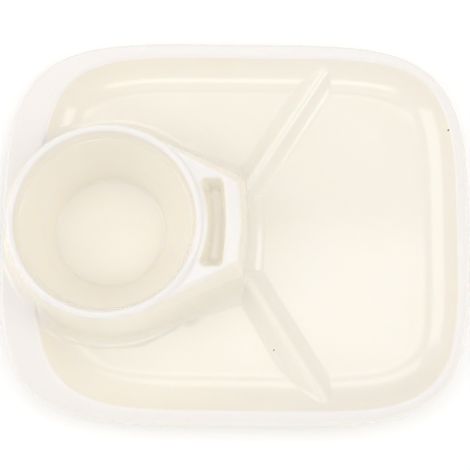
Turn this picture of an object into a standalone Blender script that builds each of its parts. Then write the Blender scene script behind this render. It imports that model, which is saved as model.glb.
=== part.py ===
"""A one-piece moulded meal tray with a standing cup, a finger slot and three shallow compartments.

The tray is a thin shell, hollow from below. Its upper side is worked out first, as one solid body,
and the hollow underneath is then cut from it with the same shapes moved in by the wall's thickness.
The origin is on the surface that the tray stands on, under the middle of its outline. X runs to the
right, with the cup at the left, and Z is up.
"""

import math

import bmesh
import bpy

MM = 0.001

# The tray and its heights above the surface that it stands on
TRAY_LENGTH = 280 * MM
TRAY_WIDTH = 232 * MM
WALL = 2.5 * MM
SLANTED_WALL = 1.05 * WALL
FLOOR_TOP = WALL
BASIN_DEPTH = 13.5 * MM
RIM_TOP = FLOOR_TOP + BASIN_DEPTH
CUP_RISE = 30 * MM
LIP_TOP = RIM_TOP + CUP_RISE

# The outline is a superellipse: how square it is along X and along Y
OUTLINE_SQUARENESS = (4.5, 3.7)
RIM_EDGE_HEIGHT = 4 * MM
RIM_EDGE_ROUND = 2.4 * MM
RIM_FOOT_ROUND = 0.7 * MM
RIM_INSIDE_LEAN = 0.35 * MM

# The basin lies to the right of the middle, which leaves the wide flange at the left
BASIN_CENTRE_X = 7.5 * MM
BASIN_HALF_LENGTH = 125 * MM
BASIN_HALF_WIDTH = 107 * MM
BASIN_SQUARENESS = (5, 4)
FLOOR_SQUARENESS = (6, 6)
BASIN_WALL_RUN = 23 * MM
BASIN_EDGE_ROUND = 3 * MM
BASIN_EDGE_OUTSET = 2 * MM
BASIN_WALL_ANGLE = math.radians(50)

# The cup: its lip, its outer wall and its bowl
CUP_CENTRE = (-75.5 * MM, -0.5 * MM)
LIP_INNER_RADIUS = 52.4 * MM
LIP_OUTER_RADIUS = 56.8 * MM
LIP_ROUND = (LIP_OUTER_RADIUS - LIP_INNER_RADIUS) / 2
CUP_FOOT_RADIUS = 62.4 * MM
CUP_FOOT_FILLET = 3 * MM
CUP_FLOOR_TOP = FLOOR_TOP + 1.5 * MM
CUP_FLOOR_RADIUS = 33 * MM
CUP_FLOOR_FILLET = 3 * MM
LEDGE_DROP = 7.5 * MM
LEDGE_WIDTH = 0.8 * MM
LEDGE_RADIUS = 50.6 * MM
CUP_HOLLOW_TOP = LIP_TOP - 10.5 * MM

# The pod carries the finger slot. Each row is a height above the rim, how far the pod reaches to
# the right, half the distance between its two right corners' centres, and those corners' radius.
POD_LEVELS = (
    (27.6 * MM, 0.8 * MM, 19.8 * MM, 3.4 * MM),
    (27.0 * MM, 2.4 * MM, 21.0 * MM, 4.2 * MM),
    (25.4 * MM, 3.3 * MM, 21.7 * MM, 4.6 * MM),
    (15.5 * MM, 6.0 * MM, 24.8 * MM, 6.0 * MM),
    (13.5 * MM, 6.5 * MM, 25.2 * MM, 6.3 * MM),
    (-4.0 * MM, 8.0 * MM, 26.4 * MM, 7.5 * MM),
    (-8.0 * MM, 9.6 * MM, 26.8 * MM, 8.8 * MM),
    (-11.0 * MM, 12.3 * MM, 27.0 * MM, 11.3 * MM),
    (-13.0 * MM, 16.0 * MM, 27.0 * MM, 14.8 * MM),
    (-13.8 * MM, 19.0 * MM, 27.0 * MM, 17.6 * MM),
)
POD_TOP = RIM_TOP + POD_LEVELS[0][0]
POD_HOLLOW_TOP = POD_TOP - 6.5 * MM
POD_BULGE_ANGLE = math.radians(8)
POD_INSIDE_CUP = 0.3 * MM
POD_SMALLEST_CORNER = 1 * MM

# Where the pod's plan closes inside the cup: how far right of the cup's middle, and its width there
# as a share of the width where it leaves the cup
POD_TAIL_REACH = 10 * MM
POD_TAIL_WIDTH = 0.5

# The slot's plan at its floor, and how far each side leans out on the way up to its mouth
SLOT_DEPTH = 11 * MM
SLOT_FLOOR_TOP = POD_TOP - SLOT_DEPTH
SLOT_INNER_RADIUS = 62.6 * MM
SLOT_OUTER_X = -7.8 * MM
SLOT_HALF_LENGTH = 21.6 * MM
SLOT_INNER_LEAN = 3.4 * MM
SLOT_OUTER_LEAN = 2.2 * MM
SLOT_END_LEAN = 4.5 * MM
SLOT_EDGE_ROUND = 1.8 * MM
SLOT_FLOOR_FILLET = 1.2 * MM
SLOT_CORNER = 3.2 * MM
SLOT_CORNER_SHARE = 0.45
SLOT_BULGE_RADIUS = 160 * MM

# The two ridges run from the pod to the basin's wall, one up and one down the plan
RIDGE_START = (3.2 * MM, 22.5 * MM)
RIDGE_END = (58.5 * MM, 109 * MM)
RIDGE_DROP = 6 * MM
RIDGE_HALF_BASE = 11.5 * MM
RIDGE_CREST_RADIUS = 2.6 * MM
RIDGE_CREST_ANGLE = math.radians(50)
GROOVE_TOP_HALF_WIDTH = 0.4 * MM
GROOVE_TOP_ROUND = 0.3 * MM

OUTLINE_POINTS = 96
CUP_POINTS = 72
CORNER_POINTS = 7
SLOT_SIDE_STEPS = 8
CURVE_STEPS = 6
EDGE_STEPS = 4
FILLET_STEPS = 3
OVERSHOOT = 8 * MM
SKIM = 0.02 * MM
MERGE_DISTANCE = 0.01 * MM
SHARP_ANGLE = math.radians(35)

# A small round drawn with one point between its ends: that point's distance from both sides, as a
# share of the radius
ROUND_MIDPOINT = 0.3

CREAM = (0.90, 0.84, 0.75, 1.0)
GLOSSY = 0.22


def arc(centre, radius, start, end, steps):
    """Points of an arc in any plane, both ends included."""
    angles = [start + (end - start) * step / steps for step in range(steps + 1)]
    return [(centre[0] + radius * math.cos(a), centre[1] + radius * math.sin(a)) for a in angles]


def signed_power(value, power):
    return math.copysign(abs(value) ** power, value)


def superellipse(centre, half_x, half_y, squareness, count=OUTLINE_POINTS):
    """A rounded outline that passes from an ellipse to a rectangle as its squareness grows."""
    points = []
    for step in range(count):
        turn = 2 * math.pi * step / count
        x = centre[0] + half_x * signed_power(math.cos(turn), 2 / squareness[0])
        y = centre[1] + half_y * signed_power(math.sin(turn), 2 / squareness[1])
        points.append((x, y))
    return points


def moved_in(profile, distance):
    """An open profile moved sideways, to the left of its own direction."""
    moved = []
    last = len(profile) - 1
    for index, (across, height) in enumerate(profile):
        before = profile[max(index - 1, 0)]
        after = profile[min(index + 1, last)]
        run, rise = after[0] - before[0], after[1] - before[1]
        length = math.hypot(run, rise)
        moved.append((across - distance * rise / length, height + distance * run / length))
    return moved


def body_from(name, mesh):
    """An object that the build reads, in this file's scene."""
    piece = bpy.data.objects.new(name, mesh)
    bpy.context.scene.collection.objects.link(piece)
    return piece


def cutter_from(name, mesh):
    """An object that only shapes another one."""
    piece = body_from(name, mesh)
    piece.display_type = "WIRE"
    piece.hide_render = True
    return piece


def loft(name, rings):
    """A closed mesh through rings of equal point counts, each a list of points and its height."""
    mesh = bpy.data.meshes.new(name)
    shape = bmesh.new()
    loops = [[shape.verts.new((x, y, height)) for x, y in points] for points, height in rings]
    for lower, upper in zip(loops, loops[1:]):
        for index in range(len(lower)):
            nearby = (index + 1) % len(lower)
            shape.faces.new((lower[index], lower[nearby], upper[nearby], upper[index]))
    shape.faces.new(loops[0])
    shape.faces.new(loops[-1])
    bmesh.ops.recalc_face_normals(shape, faces=shape.faces)
    shape.to_mesh(mesh)
    shape.free()
    mesh.shade_smooth()
    mesh.set_sharp_from_angle(angle=SHARP_ANGLE)
    return mesh


def turned(name, profile):
    """A closed mesh turned about the cup's axis from a profile of radius and height."""
    mesh = bpy.data.meshes.new(name)
    shape = bmesh.new()
    verts = [shape.verts.new((CUP_CENTRE[0] + radius, CUP_CENTRE[1], height))
             for radius, height in profile]
    edges = [shape.edges.new(pair) for pair in zip(verts, verts[1:])]
    bmesh.ops.spin(shape, geom=verts + edges, cent=(*CUP_CENTRE, 0), axis=(0, 0, 1),
                   angle=2 * math.pi, steps=CUP_POINTS, use_merge=True)
    bmesh.ops.remove_doubles(shape, verts=shape.verts, dist=MERGE_DISTANCE)
    bmesh.ops.recalc_face_normals(shape, faces=shape.faces)
    shape.to_mesh(mesh)
    shape.free()
    mesh.shade_smooth()
    mesh.set_sharp_from_angle(angle=SHARP_ANGLE)
    return mesh


def combine(piece, operation, tool):
    step = piece.modifiers.new(f"{operation.lower()} {tool.name}", "BOOLEAN")
    step.operation = operation
    step.object = tool
    step.solver = "EXACT"


def outline_ring(inset):
    return superellipse((0, 0), TRAY_LENGTH / 2 - inset, TRAY_WIDTH / 2 - inset, OUTLINE_SQUARENESS)


def basin_ring(inset):
    """The basin's outline at some distance in from its edge; its corners square up going in."""
    share = min(max(inset / BASIN_WALL_RUN, 0), 1)
    squareness = [edge + (floor - edge) * share for edge, floor in zip(BASIN_SQUARENESS, FLOOR_SQUARENESS)]
    centre = (BASIN_CENTRE_X, 0)
    return superellipse(centre, BASIN_HALF_LENGTH - inset, BASIN_HALF_WIDTH - inset, squareness)


def basin_profile():
    """The basin's wall as inset and height: a round edge, then a slope that eases into the floor."""
    edge_centre = (-BASIN_EDGE_OUTSET, RIM_TOP - BASIN_EDGE_ROUND)
    quarter = math.pi / 2
    edge = arc(edge_centre, BASIN_EDGE_ROUND, quarter, quarter - BASIN_WALL_ANGLE, EDGE_STEPS)
    top_inset, top_height = edge[-1]
    run = BASIN_WALL_RUN - top_inset
    drop = top_height - FLOOR_TOP
    power = math.tan(BASIN_WALL_ANGLE) * run / drop
    slope = []
    for step in range(1, CURVE_STEPS + 1):
        share = step / CURVE_STEPS
        slope.append((top_inset + run * share, FLOOR_TOP + drop * (1 - share) ** power))
    return edge + slope


def cup_outer_radius(height):
    """The cup's outer wall leans out evenly from the lip's side down to the foot and past it."""
    top = LIP_TOP - LIP_ROUND
    share = (top - height) / (top - RIM_TOP)
    return LIP_OUTER_RADIUS + (CUP_FOOT_RADIUS - LIP_OUTER_RADIUS) * share


def bowl_profile():
    """The bowl's wall as radius and height, from the middle of its floor to the lip's inner side."""
    lip_height = LIP_TOP - LIP_ROUND
    ledge_height = lip_height - LEDGE_DROP
    lean = math.atan2(LEDGE_RADIUS - LEDGE_WIDTH - CUP_FLOOR_RADIUS, ledge_height - CUP_FLOOR_TOP)
    start = (CUP_FLOOR_RADIUS - CUP_FLOOR_FILLET / 2, CUP_FLOOR_TOP + CUP_FLOOR_FILLET)
    fillet = arc(start, CUP_FLOOR_FILLET, -math.pi / 2, -lean, FILLET_STEPS)
    return [(0, CUP_FLOOR_TOP)] + fillet + [
        (LEDGE_RADIUS - LEDGE_WIDTH, ledge_height - LEDGE_WIDTH / 2),
        (LEDGE_RADIUS, ledge_height),
        (LIP_INNER_RADIUS, lip_height),
    ]


def pod_ring(height, reach, corner_y, corner_radius, shrink=0.0):
    """The pod's plan: a line off the cup, a corner, a bulging right side, a corner, a line back."""
    cup_radius = cup_outer_radius(height) - POD_INSIDE_CUP - shrink
    reach = reach - shrink
    corner_radius = max(corner_radius - shrink, POD_SMALLEST_CORNER)
    bulge_radius = corner_y / math.sin(POD_BULGE_ANGLE) + corner_radius
    corner_x = reach - bulge_radius + (bulge_radius - corner_radius) * math.cos(POD_BULGE_ANGLE)
    across = corner_x - CUP_CENTRE[0]
    tangent = math.atan2(corner_y, across)
    tangent += math.acos((cup_radius - corner_radius) / math.hypot(across, corner_y))
    leaves_cup = (cup_radius * math.cos(tangent) + CUP_CENTRE[0], cup_radius * math.sin(tangent))
    tail = (CUP_CENTRE[0] + POD_TAIL_REACH, leaves_cup[1] * POD_TAIL_WIDTH)
    upper = [tail, leaves_cup]
    upper += arc((corner_x, corner_y), corner_radius, tangent, POD_BULGE_ANGLE, CORNER_POINTS)
    side_centre = (reach - bulge_radius, 0)
    side = arc(side_centre, bulge_radius, POD_BULGE_ANGLE, -POD_BULGE_ANGLE, EDGE_STEPS)[1:-1]
    plan = upper + side + [(x, -y) for x, y in reversed(upper)]
    return [(x, y + CUP_CENTRE[1]) for x, y in plan]


def pod_row(height):
    """The row of POD_LEVELS for any height between its first and its last."""
    for upper, lower in zip(POD_LEVELS, POD_LEVELS[1:]):
        if lower[0] <= height <= upper[0]:
            share = (height - lower[0]) / (upper[0] - lower[0])
            return tuple(low + (high - low) * share for low, high in zip(lower, upper))
    return POD_LEVELS[0]


def pod_mesh(name, shrink, top, foot):
    """The pod's body, or the hollow under it when it is shrunk by the wall and has a lower top."""
    rows = [pod_row(top - RIM_TOP)] + [row for row in POD_LEVELS if RIM_TOP + row[0] < top - SKIM]
    rings = []
    for height, reach, corner_y, corner_radius in rows:
        level = RIM_TOP + height
        rings.append((pod_ring(level, reach, corner_y, corner_radius, shrink), level))
    rings.append((rings[-1][0], foot))
    return loft(name, rings)


def slot_ring(share, grow=0.0):
    """The slot's plan between its floor, where share is 0, and its mouth, where share is 1.

    A rounded rectangle is bent so that its left side follows the cup and its right side the pod.
    """
    inner = SLOT_INNER_RADIUS - SLOT_INNER_LEAN * share - grow
    outer = SLOT_OUTER_X + SLOT_OUTER_LEAN * share + grow
    half_length = SLOT_HALF_LENGTH + SLOT_END_LEAN * share + grow
    straight = half_length - SLOT_CORNER
    side = [(1, straight * (2 * step / SLOT_SIDE_STEPS - 1)) for step in range(1, SLOT_SIDE_STEPS)]
    corner = [(1 - SLOT_CORNER_SHARE * (1 - across), straight + SLOT_CORNER * along)
              for across, along in arc((0, 0), 1, 0, math.pi / 2, EDGE_STEPS)]
    half = side + corner + [(-across, along) for across, along in reversed(corner)]
    plan = half + [(-across, -along) for across, along in half]
    points = []
    for across, y in plan:
        left = CUP_CENTRE[0] + math.sqrt(inner ** 2 - y ** 2)
        right = outer - y ** 2 / (2 * SLOT_BULGE_RADIUS)
        points.append(((left + right + across * (right - left)) / 2, y + CUP_CENTRE[1]))
    return points


def ridge_profile():
    """Half of a ridge's section as distance from its crest line and height, crest first."""
    crest_height = RIM_TOP - RIDGE_DROP
    quarter = math.pi / 2
    crest_centre = (0, crest_height - RIDGE_CREST_RADIUS)
    crest = arc(crest_centre, RIDGE_CREST_RADIUS, quarter, quarter - RIDGE_CREST_ANGLE, FILLET_STEPS)
    side, side_height = crest[-1]
    run = RIDGE_HALF_BASE - side
    drop = side_height - FLOOR_TOP
    power = math.tan(RIDGE_CREST_ANGLE) * run / drop
    slope = []
    for step in range(1, CURVE_STEPS + 1):
        share = step / CURVE_STEPS
        slope.append((side + run * share, FLOOR_TOP + drop * (1 - share) ** power))
    return crest + slope


def ridge_mesh(name, half_section, foot, direction):
    """A ridge along the plan's upper line, or its lower line when direction is -1."""
    along = (RIDGE_END[0] - RIDGE_START[0], direction * (RIDGE_END[1] - RIDGE_START[1]))
    length = math.hypot(*along)
    side = (along[1] / length, -along[0] / length)
    section = [(-across, height) for across, height in reversed(half_section[1:])] + list(half_section)
    section = [(section[0][0], foot)] + section + [(section[-1][0], foot)]
    mesh = bpy.data.meshes.new(name)
    shape = bmesh.new()
    ends = []
    for x, y in (RIDGE_START, RIDGE_END):
        y *= direction
        ends.append([shape.verts.new((x + side[0] * across, y + side[1] * across, height))
                     for across, height in section])
    for index in range(len(section)):
        nearby = (index + 1) % len(section)
        shape.faces.new((ends[0][index], ends[0][nearby], ends[1][nearby], ends[1][index]))
    shape.faces.new(ends[0])
    shape.faces.new(ends[1])
    bmesh.ops.recalc_face_normals(shape, faces=shape.faces)
    shape.to_mesh(mesh)
    shape.free()
    mesh.shade_smooth()
    mesh.set_sharp_from_angle(angle=SHARP_ANGLE)
    return mesh


def rim_slab():
    """The tray before anything is cut: its outline, with the rolled outer edge at the top."""
    foot = RIM_TOP - RIM_EDGE_HEIGHT
    rings = [
        (outline_ring(RIM_FOOT_ROUND), 0),
        (outline_ring(RIM_FOOT_ROUND), foot),
        (outline_ring(RIM_FOOT_ROUND * ROUND_MIDPOINT), foot + RIM_FOOT_ROUND * ROUND_MIDPOINT),
        (outline_ring(0), foot + RIM_FOOT_ROUND),
    ]
    centre = (RIM_EDGE_ROUND, RIM_TOP - RIM_EDGE_ROUND)
    for inset, height in arc(centre, RIM_EDGE_ROUND, math.pi, math.pi / 2, EDGE_STEPS):
        rings.append((outline_ring(inset), height))
    return loft("tray", rings)


def basin_cut():
    profile = basin_profile()
    top_inset = profile[0][0]
    rings = [(basin_ring(top_inset), RIM_TOP + OVERSHOOT), (basin_ring(top_inset), RIM_TOP + SKIM)]
    rings += [(basin_ring(inset), height) for inset, height in profile[1:]]
    return loft("basin", rings)


def basin_skin():
    """The basin grown by the wall, which the hollow underneath has to go round."""
    grown = moved_in(basin_profile()[3:], -WALL)
    grown[-1] = (grown[-1][0], 0)
    rings = [(basin_ring(grown[0][0]), RIM_TOP + OVERSHOOT)]
    rings += [(basin_ring(inset), height) for inset, height in grown]
    return loft("basin skin", rings)


def cup_wall():
    """The cup's outer body, with its round lip and its foot spread into flange and floor."""
    lip_middle = (LIP_INNER_RADIUS + LIP_OUTER_RADIUS) / 2
    lip = arc((lip_middle, LIP_TOP - LIP_ROUND), LIP_ROUND, math.pi / 2, 0, EDGE_STEPS)[1:]
    profile = [(0, LIP_TOP), (lip_middle, LIP_TOP)] + lip
    profile.append((cup_outer_radius(RIM_TOP + CUP_FOOT_FILLET), RIM_TOP + CUP_FOOT_FILLET))
    profile.append((cup_outer_radius(RIM_TOP), RIM_TOP))
    profile.append((cup_outer_radius(FLOOR_TOP + CUP_FOOT_FILLET), FLOOR_TOP + CUP_FOOT_FILLET))
    outside = profile[-1][0] + CUP_FOOT_FILLET
    centre = (outside, FLOOR_TOP + CUP_FOOT_FILLET)
    profile += arc(centre, CUP_FOOT_FILLET, math.pi, 1.5 * math.pi, FILLET_STEPS)[1:]
    profile.append((outside, FLOOR_TOP / 2))
    profile.append((0, FLOOR_TOP / 2))
    return turned("cup wall", profile)


def cup_bowl():
    profile = bowl_profile()
    lip_middle = (LIP_INNER_RADIUS + LIP_OUTER_RADIUS) / 2
    lip = arc((lip_middle, LIP_TOP - LIP_ROUND), LIP_ROUND, math.pi, math.pi / 2, EDGE_STEPS)[1:-1]
    profile += lip + [(lip_middle, LIP_TOP), (lip_middle, LIP_TOP + OVERSHOOT), (0, LIP_TOP + OVERSHOOT)]
    return turned("cup bowl", profile)


def bowl_skin():
    profile = moved_in(bowl_profile()[1:], -WALL)
    profile = [(0, CUP_FLOOR_TOP - WALL)] + profile
    profile += [(LIP_OUTER_RADIUS, LIP_TOP), (0, LIP_TOP)]
    return turned("bowl skin", profile)


def cup_hollow():
    heights = (CUP_HOLLOW_TOP, RIM_TOP, FLOOR_TOP + CUP_FOOT_FILLET, -OVERSHOOT)
    profile = [(0, CUP_HOLLOW_TOP)]
    profile += [(cup_outer_radius(max(height, 0)) - SLANTED_WALL, height) for height in heights]
    profile.append((0, -OVERSHOOT))
    return turned("cup hollow", profile)


def slot_cut():
    floor_midpoint = SLOT_FLOOR_FILLET * ROUND_MIDPOINT
    edge_midpoint = SLOT_EDGE_ROUND * ROUND_MIDPOINT
    rings = [(slot_ring(0, -SLOT_FLOOR_FILLET), SLOT_FLOOR_TOP)]
    rings.append((slot_ring(0, -floor_midpoint), SLOT_FLOOR_TOP + floor_midpoint))
    rings.append((slot_ring(0), SLOT_FLOOR_TOP + SLOT_FLOOR_FILLET))
    rings.append((slot_ring(1 - SLOT_EDGE_ROUND / SLOT_DEPTH), POD_TOP - SLOT_EDGE_ROUND))
    rings.append((slot_ring(1, edge_midpoint), POD_TOP - edge_midpoint))
    rings.append((slot_ring(1, SLOT_EDGE_ROUND), POD_TOP + SKIM))
    rings.append((slot_ring(1, SLOT_EDGE_ROUND), POD_TOP + OVERSHOOT))
    return loft("slot", rings)


def slot_skin():
    rings = [(slot_ring(0, WALL - SLOT_FLOOR_FILLET), SLOT_FLOOR_TOP - WALL)]
    rings.append((slot_ring(0, WALL), SLOT_FLOOR_TOP))
    rings.append((slot_ring(1, WALL), POD_TOP))
    return loft("slot skin", rings)


def underside_slab():
    """All that is open under the flange: wide below the rim's edge, and inside that edge above."""
    foot = RIM_TOP - RIM_EDGE_HEIGHT
    rings = [
        (outline_ring(-OVERSHOOT), -OVERSHOOT),
        (outline_ring(-OVERSHOOT), foot),
        (outline_ring(WALL + RIM_FOOT_ROUND), foot),
        (outline_ring(WALL + RIM_FOOT_ROUND + RIM_INSIDE_LEAN), RIM_TOP - WALL),
    ]
    return loft("underside", rings)


def cream_material():
    """Glossy cream moulded plastic."""
    material = bpy.data.materials.new("cream melamine")
    material.use_nodes = True
    shader = material.node_tree.nodes["Principled BSDF"]
    shader.inputs["Base Color"].default_value = CREAM
    shader.inputs["Roughness"].default_value = GLOSSY
    shader.inputs["Metallic"].default_value = 0.0
    return material


def build_underside():
    """The air under the tray, as one body."""
    underside = cutter_from("underside", underside_slab())
    combine(underside, "DIFFERENCE", cutter_from("basin skin", basin_skin()))
    combine(underside, "UNION", cutter_from("cup hollow", cup_hollow()))
    pod_hollow = pod_mesh("pod hollow", SLANTED_WALL, POD_HOLLOW_TOP, -OVERSHOOT)
    combine(underside, "UNION", cutter_from("pod hollow", pod_hollow))
    moved = moved_in(ridge_profile(), -WALL)
    groove = [point for point in moved[1:] if point[0] > GROOVE_TOP_HALF_WIDTH]
    groove = [(0, groove[0][1] + GROOVE_TOP_ROUND)] + groove
    for name, direction in (("upper groove", 1), ("lower groove", -1)):
        combine(underside, "UNION", cutter_from(name, ridge_mesh(name, groove, -OVERSHOOT, direction)))
    combine(underside, "DIFFERENCE", cutter_from("bowl skin", bowl_skin()))
    combine(underside, "DIFFERENCE", cutter_from("slot skin", slot_skin()))
    return underside


def build_tray():
    tray = body_from("tray", rim_slab())
    combine(tray, "DIFFERENCE", cutter_from("basin", basin_cut()))
    for name, direction in (("upper ridge", 1), ("lower ridge", -1)):
        ridge = ridge_mesh(name, ridge_profile(), FLOOR_TOP / 2, direction)
        combine(tray, "UNION", cutter_from(name, ridge))
    combine(tray, "UNION", cutter_from("cup wall", cup_wall()))
    combine(tray, "UNION", cutter_from("pod", pod_mesh("pod", 0, POD_TOP, FLOOR_TOP / 2)))
    combine(tray, "DIFFERENCE", cutter_from("cup bowl", cup_bowl()))
    combine(tray, "DIFFERENCE", cutter_from("slot", slot_cut()))
    combine(tray, "DIFFERENCE", build_underside())
    tray.data.materials.append(cream_material())
    return tray


def main():
    for leftover in list(bpy.data.objects):
        bpy.data.objects.remove(leftover)
    build_tray()


main()
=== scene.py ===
"""Looks of a one-piece cream meal tray: the moulded shell with all its fillets, the glossy plastic, and
a plain white studio seen from almost straight above.

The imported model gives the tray's box. The shell is worked out from the sizes in the panel: the upper
surface is a set of simple surfaces joined by round fillets, and the underside lies a wall's thickness
below it. Lengths are in metres.
"""

import math

import bpy
import numpy as np
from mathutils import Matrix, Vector
from mathutils.bvhtree import BVHTree
from mathutils.geometry import delaunay_2d_cdt
from mathutils.kdtree import KDTree


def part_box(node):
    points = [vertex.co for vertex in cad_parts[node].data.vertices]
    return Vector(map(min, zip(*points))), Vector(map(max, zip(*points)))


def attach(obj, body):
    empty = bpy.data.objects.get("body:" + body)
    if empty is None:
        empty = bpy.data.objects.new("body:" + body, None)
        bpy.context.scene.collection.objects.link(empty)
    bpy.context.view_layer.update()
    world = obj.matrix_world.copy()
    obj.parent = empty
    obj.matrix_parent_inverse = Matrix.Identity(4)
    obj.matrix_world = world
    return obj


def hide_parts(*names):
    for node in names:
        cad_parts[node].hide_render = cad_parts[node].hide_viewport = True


bl_info = {
    "name": "Divided Meal Tray",
    "version": (1, 0, 0),
    "blender": (4, 5, 0),
    "location": "View3D > Sidebar > Meal Tray",
    "description": "Builds a moulded meal tray with a cup, a finger slot and three compartments",
    "category": "Object",
}

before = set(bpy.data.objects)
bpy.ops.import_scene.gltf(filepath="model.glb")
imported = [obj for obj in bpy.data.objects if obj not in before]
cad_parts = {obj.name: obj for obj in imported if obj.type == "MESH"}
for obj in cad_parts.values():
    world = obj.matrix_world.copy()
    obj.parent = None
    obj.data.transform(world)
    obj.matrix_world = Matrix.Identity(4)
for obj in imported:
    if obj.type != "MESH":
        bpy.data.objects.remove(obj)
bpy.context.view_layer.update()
CAD_LOW, CAD_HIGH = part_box("tray")

MM = 0.001

# The pod at some heights above the rim: how far it reaches to the right, half the distance between its
# two right corners' centres, and those corners' radius
POD_LEVELS = np.array((
    (30.0, 1.6, 19.8, 3.6),
    (25.4, 3.3, 21.7, 4.6),
    (15.5, 6.0, 24.8, 6.0),
    (13.5, 6.5, 25.2, 6.3),
    (-4.0, 8.0, 26.4, 7.5),
    (-8.0, 9.6, 26.8, 8.8),
    (-11.0, 12.3, 27.0, 11.3),
    (-13.0, 16.0, 27.0, 14.8),
    (-13.8, 19.0, 27.0, 17.6),
    (-15.0, 24.0, 27.0, 22.0),
)) * MM
POD_SOFTENING = 0.7 * MM
POD_BULGE_ANGLE = math.radians(8)
POD_INSIDE_CUP = 0.3 * MM

# The slot's plan at its floor, and how far each side leans out on the way up to its mouth
SLOT_INNER_RADIUS = 62.6 * MM
SLOT_OUTER_X = -7.8 * MM
SLOT_BULGE_RADIUS = 160 * MM
SLOT_INNER_LEAN = 3.4 * MM
SLOT_OUTER_LEAN = 2.2 * MM
SLOT_END_LEAN = 4.5 * MM
SLOT_CORNER_RADIUS = 3.4 * MM
SLOT_FLOOR_ROUND = 2.5 * MM

# One ridge's crest line in the plan, from the pod out to the rim; the other ridge mirrors it
RIDGE_START = (3.2 * MM, 22.5 * MM)
RIDGE_END = (58.5 * MM, 109 * MM)

# The steepest slope of the basin's and the ridges' sides, and how far outside the basin's edge the
# middle of its rounding lies
STEEPEST_SLOPE = math.radians(50)
BASIN_EDGE_OUTSIDE = 2 * MM

# Small roundings inside the cup: where the wall meets the floor, and below and above the ledge
BOWL_FOOT_ROUND = 3 * MM
LEDGE_FOOT_ROUND = 0.5 * MM
LEDGE_EDGE_ROUND = 0.4 * MM

# The rounding where the rim's edge meets the underside, and how far in it reaches
RIM_CORNER_ROUND = 1.2 * MM
RIM_CORNER_REACH = 1.5 * MM

# How square the outline and the basin are along X and along Y; 2 is an ellipse
OUTLINE_SQUARENESS = (4.5, 3.7)
BASIN_SQUARENESS = (5, 4)
FLOOR_SQUARENESS = (6, 6)

# Two small dirt specks: where they are in the plan, and their radius
SPECKS = ((128.8 * MM, 62.8 * MM, 0.6 * MM), (23.6 * MM, -71.0 * MM, 0.5 * MM))

# Heights between which the painted top light fades in and out on the rim, and in on the lip and the pod: a
# paler colour that stands in for the light these high surfaces catch, with a little rubbed roughness
RIM_LIGHT_AND_RUB = (14.6 * MM, 15.8 * MM, 16.1 * MM, 17.2 * MM)
TOPS_LIGHT_AND_RUB = (42.6 * MM, 43.6 * MM)

# The lamps: name, place, the point faced, width and height in metres, and power in watts
LAMPS = (
    ("softbox_above", (0.045, 0.08, 1.0), (0.045, 0.08, 0), 0.45, 0.20, 0.22),
    ("softbox_back", (0, 0.48, 0.72), (0, 0, 0), 0.8, 0.3, 0.6),
    ("softbox_left", (-1.0, 0.05, 0.85), (0, 0, 0), 0.8, 0.7, 1.7),
    ("softbox_right", (1.2, 0, 0.9), (0, 0, 0), 0.6, 0.6, 1.5),
    ("small_front", (0, -0.75, 1.05), (0, 0, 0), 0.5, 0.25, 0.5),
)

# The surroundings' dim patch overhead: where it fades out to the sides, the back and the front, and
# downwards, by the direction's X, Y and Z; then where the back grows dim, and both greys
PATCH_SIDES = (0.16, 0.26)
PATCH_BACK = (0.02, 0.06)
PATCH_FRONT = (-0.25, -0.15)
PATCH_DOWN = (0.8, 0.85)
PATCH_GREY = 0.25
BACK_FADE = (0.5, 0.9)
BACK_GREY = 0.7

FLOOR_SIZE = 6
SENSOR_WIDTH = 36
CAMERA_TARGET = (-0.3 * MM, -3.5 * MM, 16 * MM)

# How finely the shell is made: points round the rim and the cup, how far an edge may lie off the true
# surface, and the least distances between points
RIM_POINTS = 640
CUP_POINTS = 240
OUTLINE_SAMPLES = 20001
SHAPE_ERROR = 0.035 * MM
WALL_ERROR = 0.03 * MM
SHORTEST_SPLIT = 0.25 * MM
REFINING_ROUNDS = 4
FORM_GAP = 0.4 * MM
RIM_GAP = 0.5 * MM
FILL_SPACING = 6 * MM
FILL_GAP = 3 * MM
UNDERSIDE_GRID = 0.15 * MM

# How far off a form's own surface its points may lie, as a share of its fillet
STEEP_SHARE = 0.45
GENTLE_SHARE = 0.3

# How often a range is halved to find a surface or the basin's inset, and the inset's range
HALVINGS = 24
INSET_HALVINGS = 22
INSET_LIMIT = 30 * MM

# Far enough to carry a section's level ends past the tray
BEYOND = 0.1


def length(name, description, millimetres):
    """A size in the panel, in metres, given here in millimetres."""
    return bpy.props.FloatProperty(name=name, description=description, default=millimetres * MM,
                                   min=0, precision=4, unit="LENGTH")


def colour(name, description, value):
    return bpy.props.FloatVectorProperty(name=name, description=description, default=value,
                                         min=0, max=1, size=3, subtype="COLOR")


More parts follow.
